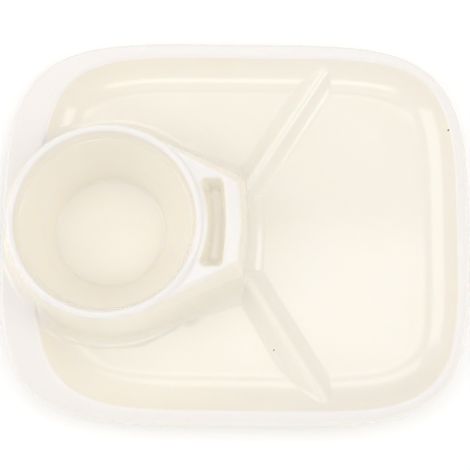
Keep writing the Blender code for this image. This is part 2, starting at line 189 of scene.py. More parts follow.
class TraySizes(bpy.types.PropertyGroup):
    """What a maker of such trays would change."""

    length: length("Length", "Tray's length along X", (CAD_HIGH.x - CAD_LOW.x) / MM)
    width: length("Width", "Tray's width along Y", (CAD_HIGH.y - CAD_LOW.y) / MM)
    height: length("Height", "From the table to the top of the cup's lip", (CAD_HIGH.z - CAD_LOW.z) / MM)
    wall: length("Wall", "Thickness of the moulded wall", 2.5)
    basin_depth: length("Basin depth", "From the rim down to the compartments' floors", 13.5)
    basin_half_length: length("Basin half length", "Half of the basin's length at its edge", 125)
    basin_half_width: length("Basin half width", "Half of the basin's width at its edge", 107)
    basin_shift: length("Basin shift", "How far right of the tray's middle the basin lies", 7.5)
    basin_wall_run: length("Basin wall run", "Width of the basin's sloping wall, seen from above", 23)
    basin_edge_round: length("Basin edge round", "Radius of the basin's upper edge", 3)
    rim_edge_height: length("Rim edge height", "Height of the rim's turned-down edge", 4)
    rim_edge_round: length("Rim edge round", "Radius of the rim's outer edge", 2.4)
    rim_foot_round: length("Rim foot round", "Radius at the foot of the rim's edge", 0.7)
    cup_x: bpy.props.FloatProperty(name="Cup X", description="Where the cup's middle is along X",
                                   default=-75.5 * MM, precision=4, unit="LENGTH")
    cup_y: bpy.props.FloatProperty(name="Cup Y", description="Where the cup's middle is along Y",
                                   default=-0.5 * MM, precision=4, unit="LENGTH")
    lip_inner_radius: length("Lip inner radius", "Radius inside the cup's lip", 52.4)
    lip_outer_radius: length("Lip outer radius", "Radius outside the cup's lip", 56.8)
    cup_foot_radius: length("Cup foot radius", "Radius of the cup's outer wall level with the rim", 62.4)
    cup_floor_radius: length("Cup floor radius", "Radius of the cup's floor", 33)
    cup_floor_top: length("Cup floor height", "Height of the cup's floor above the table", 4)
    ledge_radius: length("Ledge radius", "Radius of the fine ledge inside the cup", 50.6)
    ledge_width: length("Ledge width", "Width of the fine ledge inside the cup", 0.8)
    ledge_drop: length("Ledge drop", "How far below the lip's side the ledge is", 7.5)
    pod_drop: length("Pod drop", "How far the pod's top is below the cup's lip", 2.4)
    pod_edge_round: length("Pod edge round", "Radius of the pod's upper edge", 2.2)
    slot_depth: length("Slot depth", "From the pod's top down to the slot's floor", 11)
    slot_half_length: length("Slot half length", "Half of the slot's length at its floor", 21.6)
    slot_edge_round: length("Slot edge round", "Radius of the edge round the slot's mouth", 2.3)
    ridge_drop: length("Ridge drop", "How far the ridges' crests are below the rim", 6)
    ridge_half_base: length("Ridge half base", "Half of a ridge's width at the floor", 11.5)
    ridge_crest_radius: length("Ridge crest radius", "Radius of the ridges' crests", 4.2)
    cup_fillet: length("Cup fillet", "Fillet where the cup's outer wall meets the tray", 7)
    pod_fillet: length("Pod fillet", "Fillet where the pod meets the cup and the tray", 2)
    ridge_fillet: length("Ridge fillet", "Fillet where a ridge meets the walls", 4)


class CreamFinish(bpy.types.PropertyGroup):
    """The moulded plastic's colours and gloss."""

    cream: colour("Cream", "Colour of the plastic", (0.964, 0.905, 0.798))
    cloudy: colour("Cloudy cream", "Colour of the plastic's faint clouds", (0.969, 0.914, 0.819))
    # Painted top light: a paler cream for the rim's flat and the tops of the lip and pod, standing in for
    # the light these high surfaces catch
    top_light_and_rub: colour("Worn cream", "Colour where use has rubbed the plastic", (0.935, 0.9, 0.875))
    dirt: colour("Specks", "Colour of the few dirt specks", (0.16, 0.11, 0.07))
    gloss: bpy.props.FloatProperty(name="Roughness", description="Roughness of the unworn plastic",
                                   default=0.12, min=0, max=1, subtype="FACTOR")


class StudioLook(bpy.types.PropertyGroup):
    """The studio's floor, lamps and camera."""

    floor: colour("Floor", "Colour of the studio's floor", (1.0, 1.0, 1.0))
    surroundings: bpy.props.FloatProperty(name="Surroundings", default=0.82, min=0,
                                          description="Brightness of the white surroundings")
    camera_distance: length("Camera distance", "From the camera to the tray's middle", 714.6)
    camera_elevation: bpy.props.FloatProperty(name="Camera elevation", default=math.radians(80),
                                              description="How far above level the camera is",
                                              subtype="ANGLE")
    camera_turn: bpy.props.FloatProperty(name="Camera turn", default=math.radians(-0.58),
                                         description="How far the camera is turned about its view",
                                         subtype="ANGLE")
    camera_lens: bpy.props.FloatProperty(name="Lens", description="Focal length on a 36 mm sensor",
                                         default=91.6, min=1, unit="CAMERA")


def joined(first, second, radius):
    """Two bodies as one, with a round fillet where they meet.

    A body is given as its distance at some points, below zero inside it, and the direction in which
    that distance grows.
    """
    (near_first, out_first), (near_second, out_second) = first, second
    nearer = near_first <= near_second
    distance = np.where(nearer, near_first, near_second)
    outward = np.where(nearer, out_first, out_second)
    if radius <= 0:
        return distance, outward
    cosine = np.clip((out_first * out_second).sum(0), -0.995, 1)
    a, b = near_first - radius, near_second - radius
    rounded = (a < b * cosine) & (b < a * cosine) & (cosine < 0.9995)
    sine_squared = np.maximum(1 - cosine ** 2, 0.0005)
    reach = np.sqrt(np.maximum(a * a + b * b - 2 * a * b * cosine, 1e-16) / sine_squared)
    bend = -(a * (out_first - out_second * cosine) + b * (out_second - out_first * cosine))
    bend = bend / (sine_squared * reach)
    return np.where(rounded, radius - reach, distance), np.where(rounded, bend, outward)


def turned_over(body):
    return -body[0], -body[1]


def cut(body, hollow, radius):
    """A body with a hollow taken out, its edge rounded."""
    return turned_over(joined(turned_over(body), hollow, radius))


def overlap(first, second, radius):
    """What two bodies share, its edge rounded."""
    return turned_over(joined(turned_over(first), turned_over(second), radius))


def arc(centre, radius, start, end, steps):
    """Points of an arc in any plane, both ends included."""
    angles = np.linspace(start, end, steps + 1)
    return np.stack((centre[0] + radius * np.cos(angles), centre[1] + radius * np.sin(angles)), 1)


def eased_slope(start, end, angle, steps):
    """Points of a slope that starts at an angle and eases into the level of its end."""
    run, drop = end[0] - start[0], start[1] - end[1]
    power = math.tan(angle) * run / drop
    share = np.linspace(0, 1, steps + 1)[1:]
    return np.stack((start[0] + run * share, end[1] + drop * (1 - share) ** power), 1)


def rounded_corner(before, corner, after, radius, steps=8):
    """Points of the arc that rounds a corner of a section."""
    before, corner, after = (np.array(point, float) for point in (before, corner, after))
    back = (before - corner) / np.linalg.norm(before - corner)
    ahead = (after - corner) / np.linalg.norm(after - corner)
    half = math.acos(np.clip(back @ ahead, -1, 1)) / 2
    middle = (back + ahead) / np.linalg.norm(back + ahead)
    centre = corner + middle * radius / math.sin(half)
    first = corner + back * radius / math.tan(half) - centre
    last = corner + ahead * radius / math.tan(half) - centre
    start, end = math.atan2(first[1], first[0]), math.atan2(last[1], last[0])
    if end - start > math.pi:
        end -= 2 * math.pi
    if start - end > math.pi:
        end += 2 * math.pi
    return arc(centre, radius, start, end, steps)


class Section:
    """A section's height and slope as functions of the distance across it."""

    def __init__(self, points):
        points = np.array(points)
        keep = np.concatenate(([True], np.diff(points[:, 0]) > 1e-7))
        self.across, self.height = points[keep].T
        step = np.diff(points[keep], axis=0)
        angle = np.arctan2(step[:, 1], step[:, 0])
        middle = (self.across[1:] + self.across[:-1]) / 2
        self.angle_across, self.angle = middle, angle

    def body(self, across, outward_x, outward_y, height):
        """The body under the section, where across grows in the direction given."""
        angle = np.interp(across, self.angle_across, self.angle)
        level = np.interp(across, self.across, self.height)
        outward = np.stack((-np.sin(angle) * outward_x, -np.sin(angle) * outward_y, np.cos(angle)))
        return (height - level) * np.cos(angle), outward


def superellipse(centre_x, half_x, half_y, squareness, count):
    """Evenly spaced points of a rounded outline between an ellipse and a rectangle."""
    turn = np.linspace(0, 2 * math.pi, OUTLINE_SAMPLES)
    power_x, power_y = 2 / squareness[0], 2 / squareness[1]
    x = centre_x + half_x * np.sign(np.cos(turn)) * np.abs(np.cos(turn)) ** power_x
    y = half_y * np.sign(np.sin(turn)) * np.abs(np.sin(turn)) ** power_y
    along = np.concatenate(([0], np.cumsum(np.hypot(np.diff(x), np.diff(y)))))
    even = np.linspace(0, along[-1], count, endpoint=False)
    return np.stack((np.interp(even, along, x), np.interp(even, along, y)), 1)


class TrayShape:
    """The tray's upper surface, worked out from the sizes in the panel."""

    def __init__(self, sizes):
        self.sizes = sizes
        self.floor_top = sizes.wall
        self.rim_top = sizes.wall + sizes.basin_depth
        self.lip_top = sizes.height
        self.lip_round = (sizes.lip_outer_radius - sizes.lip_inner_radius) / 2
        self.lip_middle = (sizes.lip_outer_radius + sizes.lip_inner_radius) / 2
        self.lip_side = self.lip_top - self.lip_round
        self.pod_top = self.lip_top - sizes.pod_drop
        self.slot_floor = self.pod_top - sizes.slot_depth
        flare = sizes.cup_foot_radius - sizes.lip_outer_radius
        self.cup_lean = math.atan2(flare, self.lip_side - self.rim_top)
        self.basin_section = self.make_basin_section()
        self.ridge_section = self.make_ridge_section()
        self.bowl_section = self.make_bowl_section()

    def make_basin_section(self):
        sizes = self.sizes
        radius = sizes.basin_edge_round
        centre = (-BASIN_EDGE_OUTSIDE, self.rim_top - radius)
        edge = arc(centre, radius, math.pi / 2, math.pi / 2 - STEEPEST_SLOPE, 24)
        slope = eased_slope(edge[-1], (sizes.basin_wall_run, self.floor_top), STEEPEST_SLOPE, 60)
        flange = np.array([(-BEYOND, self.rim_top)])
        floor = np.array([(sizes.basin_wall_run + BEYOND, self.floor_top)])
        return Section(np.concatenate((flange, edge, slope, floor)))

    def make_ridge_section(self):
        sizes = self.sizes
        radius = sizes.ridge_crest_radius
        centre = (0, self.rim_top - sizes.ridge_drop - radius)
        crest = arc(centre, radius, math.pi / 2, math.pi / 2 - STEEPEST_SLOPE, 24)
        slope = eased_slope(crest[-1], (sizes.ridge_half_base, self.floor_top), STEEPEST_SLOPE, 60)
        below = np.array([(sizes.ridge_half_base + 10 * MM, self.floor_top - 5 * MM)])
        return Section(np.concatenate((crest, slope, below)))

    def make_bowl_section(self):
        sizes = self.sizes
        ledge_height = self.lip_side - sizes.ledge_drop
        middle = (0, sizes.cup_floor_top)
        crease = (sizes.cup_floor_radius, sizes.cup_floor_top)
        below_ledge = (sizes.ledge_radius - sizes.ledge_width, ledge_height - sizes.ledge_width / 2)
        ledge = (sizes.ledge_radius, ledge_height)
        lip = (sizes.lip_inner_radius, self.lip_side)
        wall_angle = math.atan2(lip[0] - ledge[0], lip[1] - ledge[1])
        lip_centre = (self.lip_middle, self.lip_side)
        parts = [
            [middle],
            rounded_corner(middle, crease, below_ledge, BOWL_FOOT_ROUND, 16),
            rounded_corner(crease, below_ledge, ledge, LEDGE_FOOT_ROUND),
            rounded_corner(below_ledge, ledge, lip, LEDGE_EDGE_ROUND),
            arc(lip_centre, self.lip_round, math.pi - wall_angle / 2, math.pi / 2, 40),
        ]
        return Section(np.concatenate(parts))

    def basin_inset(self, x, y):
        """How far inside the basin's edge a point is; the corners square up going in."""
        sizes = self.sizes
        across, along = np.abs(x - sizes.basin_shift), np.abs(y)
        low, high = np.full_like(x, -INSET_LIMIT), np.full_like(x, INSET_LIMIT)
        for _ in range(INSET_HALVINGS):
            inset = (low + high) / 2
            share = np.clip(inset / sizes.basin_wall_run, 0, 1)
            power_x = BASIN_SQUARENESS[0] + (FLOOR_SQUARENESS[0] - BASIN_SQUARENESS[0]) * share
            power_y = BASIN_SQUARENESS[1] + (FLOOR_SQUARENESS[1] - BASIN_SQUARENESS[1]) * share
            reach = (across / (sizes.basin_half_length - inset)) ** power_x
            reach += (along / (sizes.basin_half_width - inset)) ** power_y
            low = np.where(reach < 1, inset, low)
            high = np.where(reach < 1, high, inset)
        return (low + high) / 2

    def basin(self, x, y):
        """What the basin's surface needs to know about points of the plan."""
        step = 0.02 * MM
        inset = self.basin_inset(x, y)
        inward_x = (self.basin_inset(x + step, y) - self.basin_inset(x - step, y)) / (2 * step)
        inward_y = (self.basin_inset(x, y + step) - self.basin_inset(x, y - step)) / (2 * step)
        size = np.maximum(np.hypot(inward_x, inward_y), 0.01)
        return inset, inward_x / size, inward_y / size

    def ridge(self, x, y, side):
        """Distance from a ridge's crest line, and the direction in which it grows."""
        start, end = ridge_line(side)
        along = end - start
        share = ((x - start[0]) * along[0] + (y - start[1]) * along[1]) / (along @ along)
        share = np.clip(share, 0, 1)
        away_x, away_y = x - start[0] - share * along[0], y - start[1] - share * along[1]
        away = np.maximum(np.hypot(away_x, away_y), 1e-9)
        return away, away_x / away, away_y / away

    def cup(self, radius, outward_x, outward_y, height):
        """The cup's outer body: a round lip on a wall that leans out down to its foot."""
        across, up = radius - self.lip_middle, height - self.lip_side
        sine, cosine = math.sin(self.cup_lean), math.cos(self.cup_lean)
        wall = across * cosine + up * sine
        on_lip = up * cosine > across * sine
        reach = np.maximum(np.hypot(across, up), 1e-9)
        distance = np.where(on_lip, reach, wall) - self.lip_round
        flat = np.where(on_lip, across / reach, cosine)
        rise = np.where(on_lip, up / reach, sine)
        return distance, np.stack((flat * outward_x, flat * outward_y, rise))

    def pod_plan(self, x, y, height):
        """Distance from the pod's plan at a height, and the direction in which it grows."""
        sizes = self.sizes
        rise = height - self.rim_top
        levels = POD_LEVELS[::-1]
        rows = []
        for column in (1, 2, 3):
            values = [np.interp(rise + shift, levels[:, 0], levels[:, column])
                      for shift in np.linspace(-POD_SOFTENING, POD_SOFTENING, 5)]
            rows.append(sum(values) / len(values))
        reach, corner_y, corner_radius = rows
        lean = math.tan(self.cup_lean)
        cup_radius = sizes.lip_outer_radius + (self.lip_side - height) * lean - POD_INSIDE_CUP
        bulge_radius = corner_y / math.sin(POD_BULGE_ANGLE) + corner_radius
        corner_x = reach - bulge_radius + (bulge_radius - corner_radius) * math.cos(POD_BULGE_ANGLE)
        across = corner_x - sizes.cup_x
        tangent = np.arctan2(corner_y, across)
        tangent = tangent + np.arccos((cup_radius - corner_radius) / np.hypot(across, corner_y))
        side, y = np.sign(y - sizes.cup_y), np.abs(y - sizes.cup_y)
        from_x, from_y = x - corner_x, y - corner_y
        line = from_x * np.cos(tangent) + from_y * np.sin(tangent) - corner_radius
        bulge_x = x - (reach - bulge_radius)
        bulge_reach = np.maximum(np.hypot(bulge_x, y), 1e-9)
        bulge = bulge_reach - bulge_radius
        corner_reach = np.maximum(np.hypot(from_x, from_y), 1e-9)
        angle = np.arctan2(from_y, from_x)
        on_corner = (angle > POD_BULGE_ANGLE) & (angle < tangent)
        on_line = line > bulge
        distance = np.where(on_corner, corner_reach - corner_radius, np.where(on_line, line, bulge))
        out_x = np.where(on_line, np.cos(tangent), bulge_x / bulge_reach)
        out_y = np.where(on_line, np.sin(tangent), y / bulge_reach)
        out_x = np.where(on_corner, from_x / corner_reach, out_x)
        out_y = np.where(on_corner, from_y / corner_reach, out_y)
        cup_x = x - sizes.cup_x
        on_cup = on_line & (cup_x * np.sin(tangent) < y * np.cos(tangent))
        radius = np.maximum(np.hypot(cup_x, y), 1e-9)
        distance = np.where(on_cup, radius - cup_radius, distance)
        out_x = np.where(on_cup, cup_x / radius, out_x)
        out_y = np.where(on_cup, y / radius, out_y)
        return distance, out_x, out_y * side

    def pod(self, x, y, height):
        """The pod that carries the slot."""
        step = 0.01 * MM
        distance, out_x, out_y = self.pod_plan(x, y, height)
        higher = self.pod_plan(x, y, height + step)[0]
        lean = (higher - distance) / step
        scale = 1 / np.sqrt(1 + lean ** 2)
        sides = distance * scale, np.stack((out_x, out_y, lean)) * scale
        top = height - self.pod_top, upward(x)
        return overlap(sides, top, self.sizes.pod_edge_round)

    def slot(self, x, y, radius, outward_x, outward_y, height):
        """The slot's air: curved along the cup at its left and along the pod's bulge at its right."""
        sizes = self.sizes
        share = (height - self.slot_floor) / sizes.slot_depth
        y = y - sizes.cup_y
        inner = SLOT_INNER_RADIUS - SLOT_INNER_LEAN * share
        from_cup = np.where(outward_x > 0, inner - radius, inner)
        left = leaning(from_cup, -outward_x, -outward_y, -SLOT_INNER_LEAN / sizes.slot_depth)
        from_outer = x + y ** 2 / (2 * SLOT_BULGE_RADIUS) - SLOT_OUTER_X - SLOT_OUTER_LEAN * share
        outer_lean = -SLOT_OUTER_LEAN / sizes.slot_depth
        right = leaning(from_outer, np.ones_like(x), y / SLOT_BULGE_RADIUS, outer_lean)
        from_end = np.abs(y) - sizes.slot_half_length - SLOT_END_LEAN * share
        ends = leaning(from_end, np.zeros_like(x), np.sign(y), -SLOT_END_LEAN / sizes.slot_depth)
        floor = self.slot_floor - height, -upward(x)
        walls = overlap(overlap(left, right, 0), ends, SLOT_CORNER_RADIUS)
        return overlap(walls, floor, SLOT_FLOOR_ROUND)

    def body(self, plan, height):
        """The solid tray outside the cup's lip, before the hollow underneath is taken away."""
        x, y, radius, outward_x, outward_y, inset, ridges = plan
        sizes = self.sizes
        tray = self.basin_section.body(*inset, height)
        for ridge in ridges:
            tray = joined(tray, self.ridge_section.body(*ridge, height), sizes.ridge_fillet)
        tray = joined(tray, self.cup(radius, outward_x, outward_y, height), sizes.cup_fillet)
        tray = joined(tray, self.pod(x, y, height), sizes.pod_fillet)
        return cut(tray, self.slot(x, y, radius, outward_x, outward_y, height), sizes.slot_edge_round)

    def surface(self, x, y):
        """Height and outward direction of the upper surface over points of the plan."""
        sizes = self.sizes
        from_x, from_y = x - sizes.cup_x, y - sizes.cup_y
        radius = np.maximum(np.hypot(from_x, from_y), 1e-9)
        outward_x, outward_y = from_x / radius, from_y / radius
        ridges = [self.ridge(x, y, side) for side in (1, -1)]
        plan = (x, y, radius, outward_x, outward_y, self.basin(x, y), ridges)
        low, high = np.zeros_like(x), np.full_like(x, self.lip_top + 1 * MM)
        for _ in range(HALVINGS):
            height = (low + high) / 2
            above = self.body(plan, height)[0] > 0
            low = np.where(above, low, height)
            high = np.where(above, height, high)
        height = (low + high) / 2
        outward = self.body(plan, height)[1]
        bowl, bowl_outward = self.bowl_section.body(radius, outward_x, outward_y, np.zeros_like(x))
        bowl = -bowl / bowl_outward[2]
        in_bowl = radius < self.lip_middle
        return np.where(in_bowl, bowl, height), np.where(in_bowl, bowl_outward, outward)


def upward(values):
    """The direction straight up, once for each value."""
    return np.stack((np.zeros_like(values), np.zeros_like(values), np.ones_like(values)))


def leaning(distance, out_x, out_y, out_z):
    """A body from the level distance to its leaning side."""
    outward = np.stack((out_x, out_y, np.full_like(out_x, out_z)))
    size = np.sqrt((outward ** 2).sum(0))
    return distance / size, outward / size


def ridge_line(side):
    """Both ends of a ridge's crest line, on the upper side of the plan or, with -1, the lower."""
    mirror = np.array((1, side))
    return RIDGE_START * mirror, RIDGE_END * mirror


def cup_rings(shape):
    """Points round the cup, closest together where its section bends."""
    sizes = shape.sizes
    middle, around = shape.lip_middle, shape.lip_round
    crease, ledge = sizes.cup_floor_radius, sizes.ledge_radius
    fine = [crease + shift * MM for shift in (-2.2, -1.7, -1.2, -0.8, -0.4, 0, 0.3, 0.6, 0.9, 1.2)]
    fine += [ledge - sizes.ledge_width + shift * MM for shift in (-0.4, -0.2, 0, 0.15, 0.3)]
    fine += [ledge + shift * MM for shift in (-0.3, -0.15, 0, 0.15, 0.3, 0.8, 1.3)]
    fine += [crease + (ledge - crease) * share for share in (0.16, 0.28, 0.4, 0.52, 0.64, 0.76, 0.88)]
    lip_turns = np.linspace(math.radians(168), math.radians(11), 19)
    fine += [middle + around * math.cos(turn) for turn in lip_turns]
    foot = sizes.cup_foot_radius
    fine += list(np.linspace(sizes.lip_outer_radius + 0.6 * MM, foot - 2 * MM, 5))
    fine += list(np.linspace(foot - 1.6 * MM, foot + 9 * MM, 26))
    rings = [circle(shape, radius, CUP_POINTS) for radius in fine]
    rings += [circle(shape, radius, CUP_POINTS // 3) for radius in np.array((8, 15, 21, 26, 29.5)) * MM]
    return np.concatenate([np.array([(sizes.cup_x, sizes.cup_y)])] + rings)


def circle(shape, radius, count):
    turn = np.linspace(0, 2 * math.pi, count, endpoint=False)
    x = shape.sizes.cup_x + radius * np.cos(turn)
    y = shape.sizes.cup_y + radius * np.sin(turn)
    return np.stack((x, y), 1)


def basin_rings(shape):
    sizes = shape.sizes
    edge = np.linspace(-2.2, 0.6, 8)
    slope = np.concatenate(((1.3, 2.2, 3.4, 4.8, 6.4), np.linspace(8.2, 22.2, 8)))
    insets = np.concatenate((edge, slope, (23, 24.5)))
    rings = []
    for inset in insets * MM:
        share = min(max(inset / sizes.basin_wall_run, 0), 1)
        pairs = zip(BASIN_SQUARENESS, FLOOR_SQUARENESS)
        squareness = [at_edge + (at_floor - at_edge) * share for at_edge, at_floor in pairs]
        half_x, half_y = sizes.basin_half_length - inset, sizes.basin_half_width - inset
        rings.append(superellipse(sizes.basin_shift, half_x, half_y, squareness, RIM_POINTS * 2 // 3))
    return np.concatenate(rings)


def pod_rings(shape):
    """Points round the pod's outline at many heights, found along rays from a point inside it."""
    turn = np.linspace(math.radians(-120), math.radians(120), 150)
    centre_x = -12 * MM
    heights = np.concatenate((np.linspace(43.4, 38, 8), np.linspace(36.5, 33, 3), np.linspace(32, 28.5, 8),
                              np.linspace(26, 12, 6), np.linspace(10, 2.3, 14))) * MM
    wanted = [(level, 0) for level in heights]
    wanted += [(shape.pod_top, -step * MM) for step in (0.4, 0.9, 1.5, 2.2)]
    rings = []
    for height, grow in wanted:
        low, high = np.zeros_like(turn), np.full_like(turn, 70 * MM)
        for _ in range(HALVINGS):
            reach = (low + high) / 2
            x = centre_x + reach * np.cos(turn)
            y = shape.sizes.cup_y + reach * np.sin(turn)
            inside = shape.pod_plan(x, y, np.full_like(x, height))[0] < grow
            low = np.where(inside, reach, low)
            high = np.where(inside, high, reach)
        rings.append(np.stack((x, y), 1))
    return np.concatenate(rings)


def slot_rings(shape):
    """Points round the slot's outline at many heights and round its mouth."""
    sizes = shape.sizes
    turn = np.linspace(0, 2 * math.pi, 120, endpoint=False)
    centre_x, centre_y = -11 * MM, sizes.cup_y
    flatness = 0.4
    above_floor = np.concatenate(((0.05, 0.3, 0.7, 1.2), np.linspace(2, 9, 6))) * MM
    wanted = [(shape.slot_floor + height, 0) for height in above_floor]
    wanted += [(shape.pod_top - 0.6 * MM, shift * MM) for shift in (0.1, 0.3, 0.6, 1.0, 1.5, 2.0, 2.5)]
    wanted += [(shape.slot_floor + 1.2 * MM, shift * MM) for shift in (-0.5, -0.9, -1.3)]
    rings = []
    for height, grow in wanted:
        low, high = np.zeros_like(turn), np.full_like(turn, 45 * MM)
        for _ in range(HALVINGS):
            reach = (low + high) / 2
            x = centre_x + reach * np.cos(turn) * flatness
            y = centre_y + reach * np.sin(turn)
            from_x, from_y = x - sizes.cup_x, y - sizes.cup_y
            radius = np.hypot(from_x, from_y)
            level = np.full_like(x, height)
            inside = shape.slot(x, y, radius, from_x / radius, from_y / radius, level)[0] < grow
            low = np.where(inside, reach, low)
            high = np.where(inside, high, reach)
        rings.append(np.stack((x, y), 1))
    return np.concatenate(rings)


def ridge_rows(shape):
    offsets = np.array((0, 0.5, 1, 1.5, 2, 2.6, 3.4, 4.4, 5.6, 7, 8.6, 10.2, 11.4, 13)) * MM
    rows = []
    for side in (1, -1):
        start, end = ridge_line(side)
        along = (end - start) / np.linalg.norm(end - start)
        across = np.array((along[1], -along[0]))
        stations = np.arange(0, np.linalg.norm(end - start), 1.5 * MM)
        for offset in np.concatenate((-offsets[:0:-1], offsets)):
            rows.append(start + stations[:, None] * along + offset * across)
    return np.concatenate(rows)


def filling(shape, spacing):
    """An even spread of points for the flat places."""
    half_x, half_y = shape.sizes.length / 2, shape.sizes.width / 2
    rows = []
    for row, y in enumerate(np.arange(-half_y, half_y, spacing * 0.866)):
        x = np.arange(-half_x, half_x, spacing) + (row % 2) * spacing / 2
        rows.append(np.stack((x, np.full_like(x, y)), 1))
    return np.concatenate(rows)


def inside_outline(shape, points, inset):
    half_x, half_y = shape.sizes.length / 2 - inset, shape.sizes.width / 2 - inset
    reach = np.abs(points[:, 0] / half_x) ** OUTLINE_SQUARENESS[0]
    return reach + np.abs(points[:, 1] / half_y) ** OUTLINE_SQUARENESS[1] < 1


def clear_of(points, others, distance):
    """The points that have none of the others within a distance."""
    if not len(others):
        return points
    tree = KDTree(len(others))
    for index, (x, y) in enumerate(others):
        tree.insert((x, y, 0), index)
    tree.balance()
    keep = [tree.find((x, y, 0))[2] > distance for x, y in points]
    return points[keep]


def triangles_over(points):
    """Delaunay triangles over points of the plan, as rows of three indices."""
    result = delaunay_2d_cdt([Vector(point) for point in points], [], [], 0, 1e-9)
    first = [origin[0] for origin in result[3]]
    faces = np.array([[first[corner] for corner in face] for face in result[2]])
    a, b, c = (points[faces[:, corner]] for corner in range(3))
    area = (b[:, 0] - a[:, 0]) * (c[:, 1] - a[:, 1]) - (b[:, 1] - a[:, 1]) * (c[:, 0] - a[:, 0])
    faces[area < 0] = faces[area < 0][:, ::-1]
    return faces


def upper_points(shape, rim):
    """Where the upper surface gets its points: along each form where that form is the surface."""
    sizes = shape.sizes

    def on_pod(x, y, height, radius):
        return shape.pod(x, y, height)[0] < STEEP_SHARE * sizes.pod_fillet

    def anywhere(x, y, height, radius):
        return np.full(x.shape, True)

    def on_cup(x, y, height, radius):
        outside = shape.cup(radius, radius, radius, height)[0] < STEEP_SHARE * sizes.cup_fillet
        return (radius < shape.lip_middle) | outside

    def on_ridge(x, y, height, radius):
        both = [shape.ridge_section.body(*shape.ridge(x, y, side), height)[0] for side in (1, -1)]
        return np.minimum(*both) < GENTLE_SHARE * sizes.ridge_fillet

    def on_basin(x, y, height, radius):
        off = shape.basin_section.body(*shape.basin(x, y), height)[0]
        return off < GENTLE_SHARE * sizes.ridge_fillet

    families = (
        (pod_rings(shape), on_pod),
        (slot_rings(shape), anywhere),
        (cup_rings(shape), on_cup),
        (ridge_rows(shape), on_ridge),
        (basin_rings(shape), on_basin),
    )
    kept = np.zeros((0, 2))
    for points, belongs in families:
        points = points[inside_outline(shape, points, sizes.rim_edge_round + 0.8 * MM)]
        x, y = points.T
        height, _ = shape.surface(x, y)
        radius = np.hypot(x - sizes.cup_x, y - sizes.cup_y)
        points = points[belongs(x, y, height, radius)]
        kept = np.concatenate((kept, clear_of(points, kept, FORM_GAP)))
    spread = filling(shape, FILL_SPACING)
    spread = spread[inside_outline(shape, spread, sizes.rim_edge_round + 2 * MM)]
    kept = np.concatenate((kept, clear_of(spread, kept, FILL_GAP)))
    return np.concatenate((rim, clear_of(kept, rim, RIM_GAP)))


def refined(shape, points, heights):
    """More points, in the middle of edges that cut a corner of the true surface."""
    faces = triangles_over(points)
    edges = np.unique(np.sort(np.concatenate((faces[:, :2], faces[:, 1:], faces[:, ::2])), axis=1), axis=0)
    middle = points[edges].mean(1)
    level = heights[edges].mean(1)
    height, outward = shape.surface(*middle.T)
    error = np.abs(height - level) * outward[2]
    wide = np.linalg.norm(points[edges[:, 0]] - points[edges[:, 1]], axis=1) > SHORTEST_SPLIT
    extra = (error > SHAPE_ERROR) & wide
    return middle[extra], height[extra], outward[:, extra]


def upper_surface(shape, rim):
    points = upper_points(shape, rim)
    heights, outward = shape.surface(*points.T)
    for _ in range(REFINING_ROUNDS):
        extra, extra_heights, extra_outward = refined(shape, points, heights)
        if not len(extra):
            break
        points = np.concatenate((points, extra))
        heights = np.concatenate((heights, extra_heights))
        outward = np.concatenate((outward, extra_outward), 1)
    return np.column_stack((points, heights)), outward.T, triangles_over(points)


def lower_surface(shape, points, outward, upper, rim):
    """The underside: every place that is a wall's thickness from the upper surface and no nearer."""
    wall = shape.sizes.wall
    tree = BVHTree.FromPolygons(points.tolist(), upper.tolist())
    moved = points - outward * wall
    inner_rim = wall + shape.sizes.rim_foot_round + RIM_CORNER_REACH
    inside = inside_outline(shape, moved[:, :2], inner_rim + 0.3 * MM)
    moved, outward = moved[inside], outward[inside]
    near = [tree.find_nearest(point)[3] > wall - WALL_ERROR for point in moved.tolist()]
    moved, outward = moved[near], outward[near]
    _, single = np.unique(np.round(moved[:, :2] / UNDERSIDE_GRID), axis=0, return_index=True)
    moved, outward = moved[single], outward[single]
    rim = np.column_stack((rim, np.full(len(rim), shape.rim_top - wall)))
    points = np.concatenate((rim, moved))
    normals = np.concatenate((np.tile((0, 0, -1.0), (len(rim), 1)), -outward))
    return points, normals, triangles_over(points[:, :2])[:, ::-1]


def rim_section(shape):
    """The rim's turned-down edge as inset from the outline and height, from the top round to inside."""
    sizes = shape.sizes
    foot = shape.rim_top - sizes.rim_edge_height
    large, small = sizes.rim_edge_round, sizes.rim_foot_round
    inside = sizes.wall + small
    ceiling = shape.rim_top - sizes.wall
    corner = (inside + RIM_CORNER_REACH, ceiling - RIM_CORNER_ROUND)
    half = math.pi / 2
    return np.concatenate((
        arc((large, shape.rim_top - large), large, half, 2 * half, 8),
        arc((small, foot + small), small, 2 * half, 3 * half, 4),
        arc((inside - small, foot + small), small, 3 * half, 4 * half, 4),
        arc(corner, RIM_CORNER_ROUND, 2 * half, half, 5)[1:],
    ))


def outline(shape):
    """The tray's outline and the level direction out of it."""
    points = superellipse(0, shape.sizes.length / 2, shape.sizes.width / 2, OUTLINE_SQUARENESS, RIM_POINTS)
    along = np.roll(points, -1, axis=0) - np.roll(points, 1, axis=0)
    along /= np.linalg.norm(along, axis=1)[:, None]
    return points, np.stack((along[:, 1], -along[:, 0]), 1)


